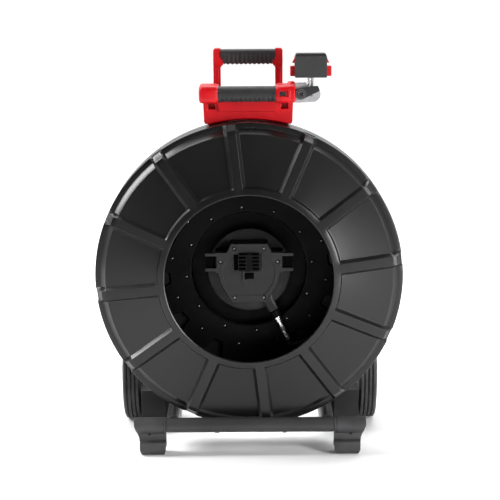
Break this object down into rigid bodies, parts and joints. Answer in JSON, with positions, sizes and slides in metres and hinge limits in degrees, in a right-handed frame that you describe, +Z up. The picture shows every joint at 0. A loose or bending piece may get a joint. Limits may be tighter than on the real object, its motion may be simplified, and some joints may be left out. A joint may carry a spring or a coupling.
{
  "type": "pipe inspection camera reel",
  "caption": "Wheeled push-cable pipe inspection reel: ribbed black drum with a docking station in its mouth, red top bracket, sliding handle and monitor arm.",
  "frame": {"origin": "on the floor, under the middle of the object's bounding box", "axes": "+Z up, +Y to the rear (the drum's mouth faces -Y), +X to the right of a person in front"},
  "size_m": [0.58, 0.372, 0.7565],
  "materials": {
    "drum_plastic": "moulded black, satin gloss",
    "black_plastic": "moulded black",
    "black_paint": "black powder coat",
    "red_plastic": "moulded red",
    "grip_rubber": "soft overmould",
    "tyre_rubber": "ribbed solid tyre",
    "cast_metal": "cast",
    "steel": "plain",
    "bright_steel": "polished",
    "cable_jacket": "smooth jacket",
    "lens": "clear",
    "led_window": "frosted",
    "copper": "contact rings"
  },
  "bodies": {
    "frame": {"front_crossbar": "black_paint", "side_rail_left": "black_paint", "side_rail_right": "black_paint", "upright_left": "black_paint", "upright_right": "black_paint", "foot_left": "black_plastic", "foot_right": "black_plastic", "wheel_bracket_left": "black_plastic", "wheel_bracket_right": "black_plastic", "wheel_axle": "steel", "wheel_cap_left": "black_plastic", "wheel_cap_right": "black_plastic", "hub_axle": "steel", "slip_ring_stator": "black_plastic", "axle_plate": "black_paint", "dock_housing": "black_plastic", "dock_cover": "black_plastic", "dock_screw_1": "steel", "dock_screw_2": "steel", "dock_screw_3": "steel", "dock_screw_4": "steel", "dock_screw_5": "steel", "dock_screw_6": "steel", "terminal_block": "black_plastic", "top_bracket": "red_plastic", "front_grip": "grip_rubber"},
    "drum": {"drum_front_shell": "drum_plastic", "drum_rear_shell": "drum_plastic", "hub_disc": "black_plastic", "arm_collar": "black_plastic", "cable_connector": "bright_steel", "connector_spring": "steel", "bearing_front": "steel", "bearing_rear": "steel", "slip_ring_rotor": "copper", "push_cable_coil": "cable_jacket", "push_cable_lead": "cable_jacket", "push_cable_tail": "cable_jacket", "camera_head": "bright_steel", "camera_led_ring": "led_window", "camera_lens": "lens", "camera_spring": "steel"},
    "wheel_left": {"tyre_left": "tyre_rubber", "wheel_rim_left": "black_plastic"},
    "wheel_right": {"tyre_right": "tyre_rubber", "wheel_rim_right": "black_plastic"},
    "button": {"release_button": "black_plastic"},
    "handle": {"handle_frame": "red_plastic", "handle_grip": "grip_rubber"},
    "arm": {"arm_knuckle": "cast_metal", "cam_bolt": "steel", "post_pin": "steel"},
    "lever": {"cam_lever": "black_plastic"},
    "post": {"arm_post": "steel"},
    "holder": {"monitor_holder": "black_plastic"},
    "left_latch": {"latch_left": "red_plastic"},
    "right_latch": {"latch_right": "red_plastic"}
  },
  "joints": [
    {"name": "drum_spin", "type": "hinge", "parent": "frame", "child": "drum", "pos_m": [0, -0.134, 0.336], "axis": [0, 1, 0], "continuous": true},
    {"name": "wheel_left_spin", "type": "hinge", "parent": "frame", "child": "wheel_left", "pos_m": [-0.2365, 0.086, 0.1], "axis": [1, 0, 0], "continuous": true},
    {"name": "wheel_right_spin", "type": "hinge", "parent": "frame", "child": "wheel_right", "pos_m": [0.2365, 0.086, 0.1], "axis": [1, 0, 0], "continuous": true},
    {"name": "handle_slide", "type": "slide", "parent": "frame", "child": "handle", "axis": [0, 0, 1], "range_m": [0, 0.14]},
    {"name": "button_press", "type": "slide", "parent": "frame", "child": "button", "axis": [0, 1, 0], "range_m": [0, 0.003], "stiffness_N_per_m": 500, "springref_m": -0.002},
    {"name": "arm_tilt", "type": "hinge", "parent": "frame", "child": "arm", "pos_m": [0.0871, -0.104, 0.68], "axis": [1, 0, 0], "range_deg": [-70, 40]},
    {"name": "cam_lever_throw", "type": "hinge", "parent": "arm", "child": "lever", "pos_m": [0.0974, -0.124, 0.6772], "axis": [0, 1, 0], "range_deg": [0, 90]},
    {"name": "post_swing", "type": "hinge", "parent": "arm", "child": "post", "pos_m": [0.117, -0.104, 0.6762], "axis": [0, 1, 0], "range_deg": [-5, 60]},
    {"name": "holder_swivel", "type": "hinge", "parent": "post", "child": "holder", "pos_m": [0.117, -0.104, 0.7065], "axis": [0, 0, 1], "range_deg": [-90, 90]},
    {"name": "latch_left_press", "type": "slide", "parent": "holder", "child": "left_latch", "axis": [1, 0, 0], "range_m": [0, 0.003], "stiffness_N_per_m": 500, "springref_m": -0.002},
    {"name": "latch_right_press", "type": "slide", "parent": "holder", "child": "right_latch", "axis": [-1, 0, 0], "range_m": [0, 0.003], "stiffness_N_per_m": 500, "springref_m": -0.002}
  ]
}
